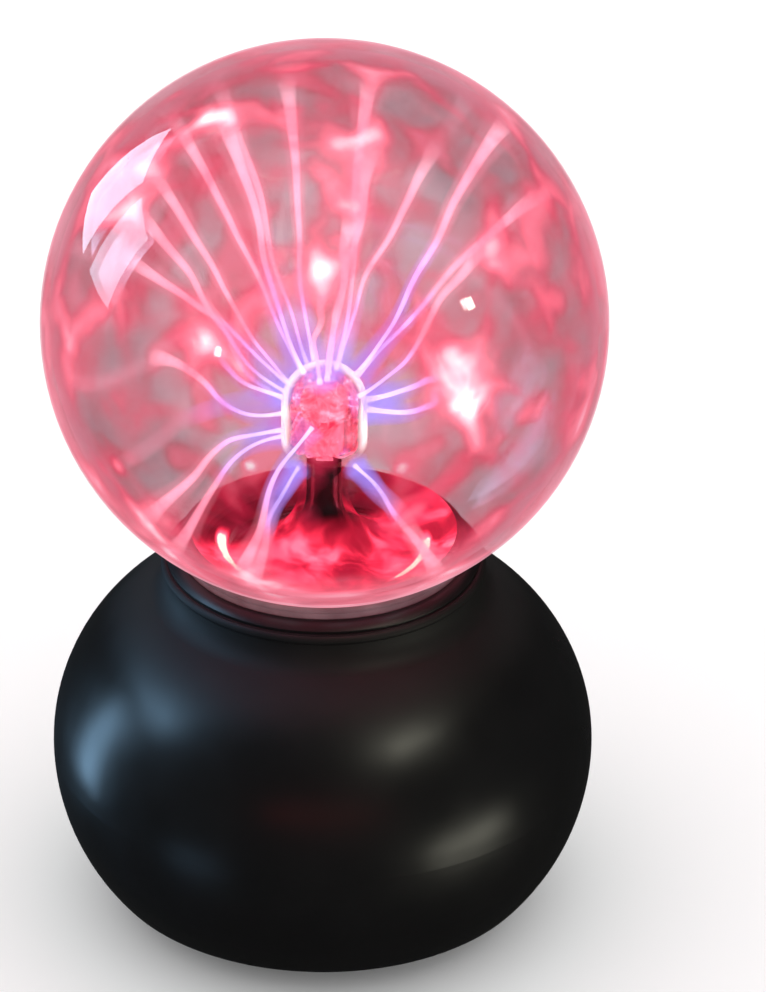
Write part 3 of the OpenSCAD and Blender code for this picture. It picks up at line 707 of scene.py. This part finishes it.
def veil_material():
    """Haze of the gas: mauve where quiet, red and salmon in clouds and threads, white under streamers."""
    s = Shader("plasma_veil_gas")
    landed = s.attribute("glow")
    drift = s.warped(60.0, 14 * MM)
    threads = s.noise(36.0, 2.0, 0.5, vector=drift, kind="RIDGED_MULTIFRACTAL")
    clouds = s.remap(s.noise(46.0, 2.5, 0.5, 0.3, vector=drift), 0.42, 0.68)
    cells = s.remap(s.edges_of_cells(56.0, s.warped(70.0, 12 * MM)), 0.0, 0.24, 1.0, 0.0)
    ragged = s.remap(s.noise(150.0, 2.0, 0.55, 0.4), 0.25, 0.75, 0.65, 1.20)
    thread_part = s.math("MULTIPLY", s.remap(threads, 0.70, 1.50), 0.30)
    cell_part = s.math("MULTIPLY", s.math("MULTIPLY", cells, s.remap(clouds, 0.0, 1.0, 0.35, 1.0)), 0.48)
    cloud_part = s.math("MULTIPLY", clouds, 0.22)
    quiet = s.math("ADD", s.math("ADD", thread_part, cell_part), cloud_part)
    total = s.math("ADD", s.math("MULTIPLY", landed, ragged), quiet)
    level = s.math("MULTIPLY", total, 0.7, clamp=True)
    colour = s.ramp(level, [
        (0.0, scaled(ROSE, 0.6)), (0.12, scaled(ROSE, 0.9)), (0.26, ROSE), (0.40, SALMON), (0.58, CORAL),
        (0.80, PALE_PINK), (1.0, WARM_WHITE),
    ])
    alpha = s.grey_ramp(level, [
        (0.0, 0.0), (0.12, 0.15), (0.26, 0.42), (0.42, 0.60), (0.8, 0.82), (1.0, 0.92),
    ])
    return s.finish(s.glow(colour, 1.4, alpha, MAUVE_HAZE))


def veil_sphere():
    """A fine sphere with its centre at the origin, open where the stem's flare meets the glass."""
    shape = bmesh.new()
    bmesh.ops.create_icosphere(shape, subdivisions=7, radius=VEIL_R)
    inside = [v for v in shape.verts if v.co.z < 0 and math.hypot(v.co.x, v.co.y) < OPENING_R]
    bmesh.ops.delete(shape, geom=inside, context="VERTS")
    mesh = bpy.data.meshes.new("plasma_veil")
    shape.to_mesh(mesh)
    shape.free()
    return mesh


def make_veil():
    mesh = veil_sphere()
    points = np.array([v.co for v in mesh.vertices])
    directions = points / np.linalg.norm(points, axis=1)[:, None]
    mesh.transform(Matrix.Translation(GLOBE))
    made = placed(mesh, veil_material())
    write_values(made, "glow", glow_values(directions))


def pool_profile():
    """Radius and height of the red pool: down along the stem's flare, then out along the globe's bottom."""
    bend = Vector((BEAD_R, FLARE_TOP))
    sweep = BEAD_R - STALK_R - 0.6 * MM
    profile = [bend + Vector((-math.cos(a), -math.sin(a))) * sweep
               for a in [math.radians(6 * k) for k in range(15)]]
    for step in range(1, 11):
        radius = BEAD_R + step * 0.7 * MM
        profile.append(Vector((radius, GLOBE.z - math.sqrt(POOL_R ** 2 - radius ** 2))))
    return profile


def painted_seal_highlight(s, parts):
    """A painted highlight on the edge of the glass seal: two arcs, left and right of the stem."""
    off_edge = s.math("ABSOLUTE", s.math("SUBTRACT", s.from_axis(), BEAD_R + 2.0 * MM))
    line = s.remap(off_edge, 0.3 * MM, 1.4 * MM, 1.3, 0.0)
    sides = s.remap(s.math("ABSOLUTE", parts["X"]), 9 * MM, 13 * MM)
    near_front = s.remap(parts["Y"], 0 * MM, 5 * MM, 1.0, 0.0)
    # Noise that breaks up the painted highlight line.
    wear_and_highlight_gaps = s.remap(s.noise(220.0, 2.0), 0.3, 0.6, 0.7, 1.0)
    return s.math("MULTIPLY", s.math("MULTIPLY", line, sides), s.math("MULTIPLY", wear_and_highlight_gaps, near_front))


def pool_material():
    """Red flames of light, strongest at the front and low on the flare, with a painted highlight along the
    edge of the glass seal.
    """
    s = Shader("plasma_pool_gas")
    parts = s.parts()
    drift = s.warped(90.0, 9 * MM)
    flames = s.remap(s.noise(95.0, 3.0, 0.55, 0.6, vector=drift), 0.38, 0.72, 0.18, 1.0)
    strands = s.remap(s.noise(70.0, 2.0, 0.5, vector=drift, kind="RIDGED_MULTIFRACTAL"), 0.7, 1.5)
    level = s.math("ADD", s.math("MULTIPLY", flames, 0.75), s.math("MULTIPLY", strands, 0.45))
    low = s.remap(parts["Z"], FLARE_TOP - 7 * MM, FLARE_TOP - 2 * MM, 1.0, 0.0)
    backward = s.math("SUBTRACT", parts["Y"], s.math("MULTIPLY", parts["X"], 0.5))
    near_front = s.remap(backward, 0 * MM, 10 * MM, 1.15, 0.14)
    level = s.math("MULTIPLY", s.math("MULTIPLY", level, low), near_front)
    # The painted highlight on the seal's edge is laid over the flames.
    level = s.math("MAXIMUM", level, painted_seal_highlight(s, parts), clamp=True)
    colour = s.ramp(level, [(0.0, CRIMSON), (0.35, RED), (0.62, SALMON), (0.82, CORAL), (1.0, SEAL_HIGHLIGHT_WHITE)])
    alpha = s.grey_ramp(level, [(0.0, 0.0), (0.2, 0.45), (0.5, 0.85), (1.0, 0.95)])
    return s.finish(s.glow(colour, 2.9, alpha))


def lathe(profile, turns):
    """Points and faces of a profile (radius, height) turned about the Z axis."""
    points = []
    faces = []
    for k in range(turns):
        angle = 2 * math.pi * k / turns
        across = math.cos(angle)
        back = math.sin(angle)
        points += [(radius * across, radius * back, height) for radius, height in profile]
    count = len(profile)
    for k in range(turns):
        here, there = k * count, (k + 1) % turns * count
        faces += [(here + i, there + i, there + i + 1, here + i + 1) for i in range(count - 1)]
    return points, faces


def make_pool():
    points, faces = lathe(pool_profile(), 120)
    mesh_object("plasma_pool", points, faces, pool_material())


# ---- Wire wool in the bulb ----

FIBRES = 120
FIBRE_STEPS = 26
FIBRE_STEP = 0.55 * MM


def wool_material():
    s = Shader("electrode_wool_glow")
    mottle = s.noise(330.0, 3.0, 0.6, 0.5)
    colour = s.ramp(mottle, [
        (0.30, (0.55, 0.03, 0.08)), (0.43, (0.95, 0.14, 0.21)), (0.54, (1.0, 0.26, 0.38)),
        (0.66, (1.0, 0.50, 0.66)), (0.76, (0.95, 0.75, 1.0)),
    ])
    numbers = {
        "Base Color": (0.35, 0.08, 0.09),
        "Roughness": s.remap(mottle, 0.3, 0.7, 0.35, 0.55),
        "Metallic": 0.4,
        "Emission Color": colour,
        "Emission Strength": 1.7,
        "Normal": s.bump(s.noise(1800.0, 2.0), 0.3, 0.05 * MM),
    }
    return s.finish(s.node("BsdfPrincipled", numbers).outputs[0])


def wool_space(rng):
    """A random point in the wool's capsule, clear of the contact cap."""
    while True:
        x = rng.uniform(-WOOL_R, WOOL_R)
        y = rng.uniform(-WOOL_R, WOOL_R)
        z = rng.uniform(WOOL_LOW.z, WOOL_HIGH.z)
        over_cap = z > WOOL_LOW.z + 2.6 * MM or math.hypot(x, y) > CAP_R
        if math.hypot(x, y, max(0.0, z - DOME.z)) < WOOL_R - 0.4 * MM and over_cap:
            return Vector((x, y, z))


def keep_in_bulb(point):
    radius = WOOL_R - 0.3 * MM
    rise = max(0.0, point.z - DOME.z)
    away = math.hypot(point.x, point.y, rise)
    if away > radius:
        shrink = radius / away
        point = Vector((point.x * shrink, point.y * shrink, min(point.z, DOME.z) + rise * shrink))
    point.z = max(point.z, WOOL_LOW.z + 0.3 * MM)
    return point


def wool_core_profile():
    """The dense middle of the wool: open below for the contact cap, round on top."""
    radius = WOOL_R - 0.9 * MM
    low = WOOL_LOW.z + 0.4 * MM
    over_cap = WOOL_LOW.z + 3.0 * MM
    profile = [(0.05 * MM, over_cap), (CAP_R, over_cap), (CAP_R, low), (radius, low)]
    dome = [math.radians(9 * k) for k in range(10)]
    return profile + [(radius * math.cos(a) + 0.05 * MM, DOME.z + radius * math.sin(a)) for a in dome]


def curl(rng):
    """The middle line of one curled fibre."""
    point = wool_space(rng)
    ahead = Vector([rng.uniform(-1, 1) for axis in range(3)]).normalized()
    bend = Vector([rng.uniform(-1, 1) for axis in range(3)]).normalized()
    turn = Matrix.Rotation(rng.uniform(0.25, 0.5), 3, bend)
    path = []
    for step in range(FIBRE_STEPS):
        path.append(keep_in_bulb(point.copy()))
        ahead = (turn @ ahead).normalized()
        point = path[-1] + ahead * FIBRE_STEP
    return path


def make_wool():
    light = wool_material()
    points, faces = lathe(wool_core_profile(), 48)
    mesh_object("electrode_wool_core", points, faces, light)
    rng = random.Random(5)
    fibres = Tubes(6)
    for fibre in range(FIBRES):
        path = curl(rng)
        width = rng.uniform(0.14, 0.30) * MM
        fibres.add(path, [width] * len(path), [0.5] * len(path), 1.0)
    made = fibres.object("electrode_wool_fibres", light)
    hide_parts("electrode_wool")


# ---- Stage ----

def make_floor():
    """A pale round table, clear from below, so that the underside can be seen."""
    s = Shader("floor_pale")
    tint = s.ramp(s.noise(3.0, 3.0), [(0.3, (0.86, 0.86, 0.86)), (0.7, (0.88, 0.88, 0.88))])
    numbers = {
        "Base Color": tint,
        "Roughness": 0.9,
        "Specular IOR Level": 0.0,
        "Normal": s.bump(s.noise(400.0, 2.0), 0.02, 0.05 * MM),
    }
    pale = s.node("BsdfPrincipled", numbers).outputs[0]
    from_below = s.node("NewGeometry").outputs["Backfacing"]
    material = s.finish(s.mix(from_below, pale, s.node("BsdfTransparent").outputs[0]))
    mesh = bpy.data.meshes.new("floor")
    turns = [math.radians(5 * k) for k in range(72)]
    corners = [(3 * math.cos(a), 3 * math.sin(a), 0) for a in turns]
    mesh.from_pydata(corners, [], [tuple(range(72))])
    mesh.materials.append(material)
    floor = bpy.data.objects.new("floor", mesh)
    bpy.context.scene.collection.objects.link(floor)
    floor.visible_glossy = False
    floor.visible_shadow = False


def make_world():
    """White to the eye and for soft light, and dark in the gloss, where only the lamps shine."""
    world = bpy.data.worlds.new("studio")
    world.use_nodes = True
    tree = world.node_tree
    tree.nodes.clear()
    path = tree.nodes.new("ShaderNodeLightPath")
    strength = tree.nodes.new("ShaderNodeMapRange")
    strength.inputs["To Min"].default_value = 1.6
    strength.inputs["To Max"].default_value = 0.03
    background = tree.nodes.new("ShaderNodeBackground")
    output = tree.nodes.new("ShaderNodeOutputWorld")
    tree.links.new(path.outputs["Is Glossy Ray"], strength.inputs["Value"])
    tree.links.new(strength.outputs["Result"], background.inputs["Strength"])
    tree.links.new(background.outputs[0], output.inputs["Surface"])
    bpy.context.scene.world = world


def receivers(name, members):
    group = bpy.data.collections.new(name)
    for member in members:
        group.objects.link(NODES[member])
    return group


def make_lamp(name, azimuth, elevation, width, height, radiance, colour, target, group, roll=0):
    """A rectangle of light seen from the target at this direction. Its sizes and its roll are degrees."""
    wide = 2 * LAMP_DISTANCE * math.tan(math.radians(width / 2))
    high = 2 * LAMP_DISTANCE * math.tan(math.radians(height / 2))
    data = bpy.data.lights.new(name, "AREA")
    data.shape = "RECTANGLE"
    data.size = wide
    data.size_y = high
    data.energy = radiance * math.pi * wide * high
    data.color = colour
    lamp = bpy.data.objects.new(name, data)
    way = direction(azimuth, elevation)
    lamp.location = target + way * LAMP_DISTANCE
    lamp.rotation_mode = "QUATERNION"
    spin = Matrix.Rotation(math.radians(roll), 3, way).to_quaternion()
    lamp.rotation_quaternion = spin @ way.to_track_quat("Z", "Y")
    lamp.visible_camera = False
    bpy.context.scene.collection.objects.link(lamp)
    lamp.light_linking.receiver_collection = group


LAMP_DISTANCE = 1.2
SKY = (0.38, 0.68, 1.0)
SUNNY = (1.0, 0.98, 0.80)
WHITE = (1.0, 1.0, 1.0)


def make_lights():
    """Windows and lamps that shine in the globe, and others of their own for the base and its underside."""
    belly = Vector((0, 0, SHELL_LOW.z + 24 * MM))
    on_globe = receivers("lit_by_windows", ["globe_glass"])
    on_base = receivers("lit_on_base", ["base_shell", "globe_collar", "bottom_cover", "battery_door",
                                        "switch_knob", "power_jack", "rubber_feet", "jack_pin"])
    underside = receivers("lit_below", ["bottom_cover", "battery_door", "rubber_feet", "cover_screws",
                                        "battery_tray", "battery_cells", "battery_plates",
                                        "battery_springs"])
    make_lamp("window_right_pane", -131.5, 12, 19, 26, 7.5, (0.56, 0.78, 1.0), GLOBE, on_globe)
    make_lamp("window_left_pane", -105, 13, 18, 25, 6.5, (0.58, 0.80, 1.0), GLOBE, on_globe)
    make_lamp("lamp_right", 66, 20, 3, 4, 40.0, SUNNY, GLOBE, on_globe)
    make_lamp("lamp_left", -42, 10, 2.5, 3.5, 30.0, WHITE, GLOBE, on_globe)
    make_lamp("base_sky_high", -92, 34, 26, 10, 14.0, SKY, belly, on_base, roll=-35)
    make_lamp("base_sky_low", -106, -4, 12, 40, 6.5, SKY, belly, on_base, roll=-18)
    make_lamp("base_warm_high", 47, 43, 24, 8, 7.5, SUNNY, belly, on_base, roll=15)
    make_lamp("base_warm_low", 61, -21, 28, 8, 6.0, SUNNY, belly, on_base, roll=10)
    make_lamp("under_soft", 20, -68, 36, 36, 3.0, WHITE, Vector((0, 0, 0)), underside)
    make_lamp("base_red", 0, 9, 44, 8, 0.8, (1.0, 0.10, 0.10), belly, on_base)
    make_lamp("base_faint", -54, -30, 16, 10, 1.2, SKY, belly, on_base)
    make_lamp("rear_left", -160, 50, 22, 22, 5.0, WHITE, belly, on_base)
    make_lamp("rear_right", 155, 55, 18, 18, 5.0, WHITE, belly, on_base)


def make_camera():
    data = bpy.data.cameras.new("camera")
    data.lens = 203
    data.sensor_width = 36
    camera = bpy.data.objects.new("camera", data)
    bpy.context.scene.collection.objects.link(camera)
    back = direction(0, 29.3)
    target = Vector((9.5 * MM, 0, 73.8 * MM))
    camera.location = target + back * 0.9
    camera.rotation_mode = "QUATERNION"
    roll = Matrix.Rotation(math.radians(0.6), 3, back).to_quaternion()
    camera.rotation_quaternion = roll @ back.to_track_quat("Z", "Y")
    bpy.context.scene.camera = camera


# ---- The whole scene ----

def set_view():
    scene = bpy.context.scene
    scene.view_settings.view_transform = "Standard"
    scene.cycles.transparent_max_bounces = 64


make_camera()
set_view()
make_world()
make_floor()
make_lights()
dress_cad_nodes()
make_streamers()
make_veil()
make_pool()
make_wool()
